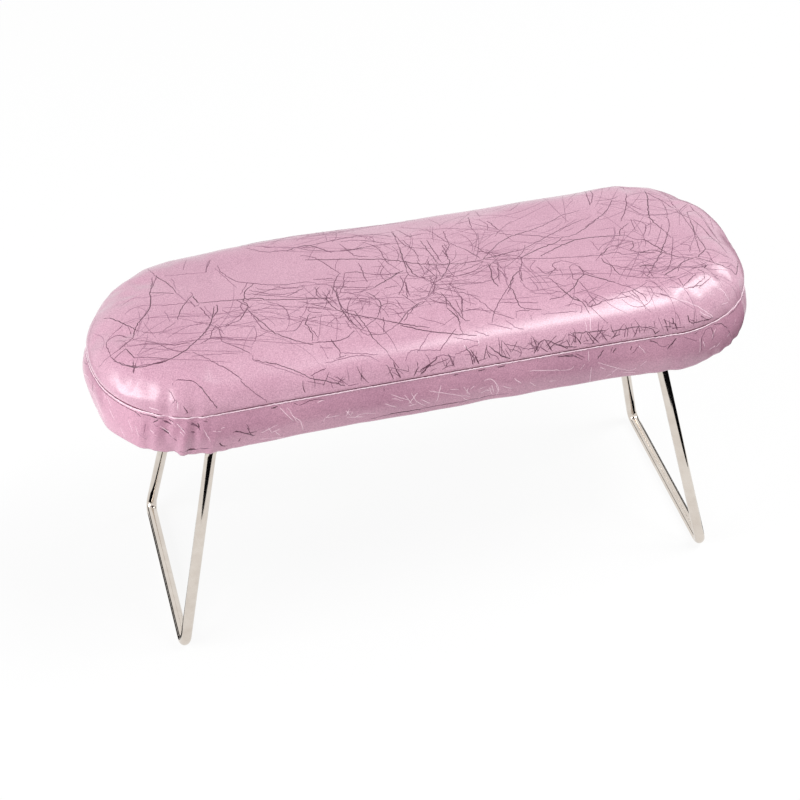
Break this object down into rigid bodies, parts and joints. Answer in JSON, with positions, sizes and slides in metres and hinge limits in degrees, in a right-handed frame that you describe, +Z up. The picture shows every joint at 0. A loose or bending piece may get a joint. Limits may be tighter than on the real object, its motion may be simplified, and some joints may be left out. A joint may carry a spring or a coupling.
{
  "type": "manicure hand rest",
  "caption": "Padded arm cushion in pink crackle-pattern leatherette on two splayed bent-rod legs, for resting a hand during a manicure.",
  "frame": {"origin": "on the floor under the middle of the cushion, midway between the legs' floor bars", "axes": "+X along the cushion's length to the user's right, +Y across it to the back, +Z up"},
  "size_m": [0.3014, 0.106, 0.1569],
  "materials": {
    "cover": "satin leatherette with a fine darker crackle pattern",
    "foam": "open-cell polyurethane foam",
    "board": "raw plywood",
    "dust_cover": "black spunbonded cloth",
    "rod": "polished nickel plating, slightly warm",
    "fastener": "bright zinc plating"
  },
  "bodies": {
    "root": {"top_cover": "cover", "side_band": "cover", "foam_core": "foam", "base_board": "board", "dust_cover": "dust_cover", "leg_left": "rod", "leg_right": "rod", "screw_left_back": "fastener", "screw_left_front": "fastener", "screw_right_back": "fastener", "screw_right_front": "fastener", "staple_01": "fastener", "staple_02": "fastener", "staple_03": "fastener", "staple_04": "fastener", "staple_05": "fastener", "staple_06": "fastener", "staple_07": "fastener", "staple_08": "fastener", "staple_09": "fastener", "staple_10": "fastener", "staple_11": "fastener", "staple_12": "fastener", "staple_13": "fastener", "staple_14": "fastener", "staple_15": "fastener", "staple_16": "fastener", "staple_17": "fastener", "staple_18": "fastener", "staple_19": "fastener", "staple_20": "fastener", "staple_21": "fastener", "staple_22": "fastener", "staple_23": "fastener", "staple_24": "fastener"}
  },
  "joints": []
}
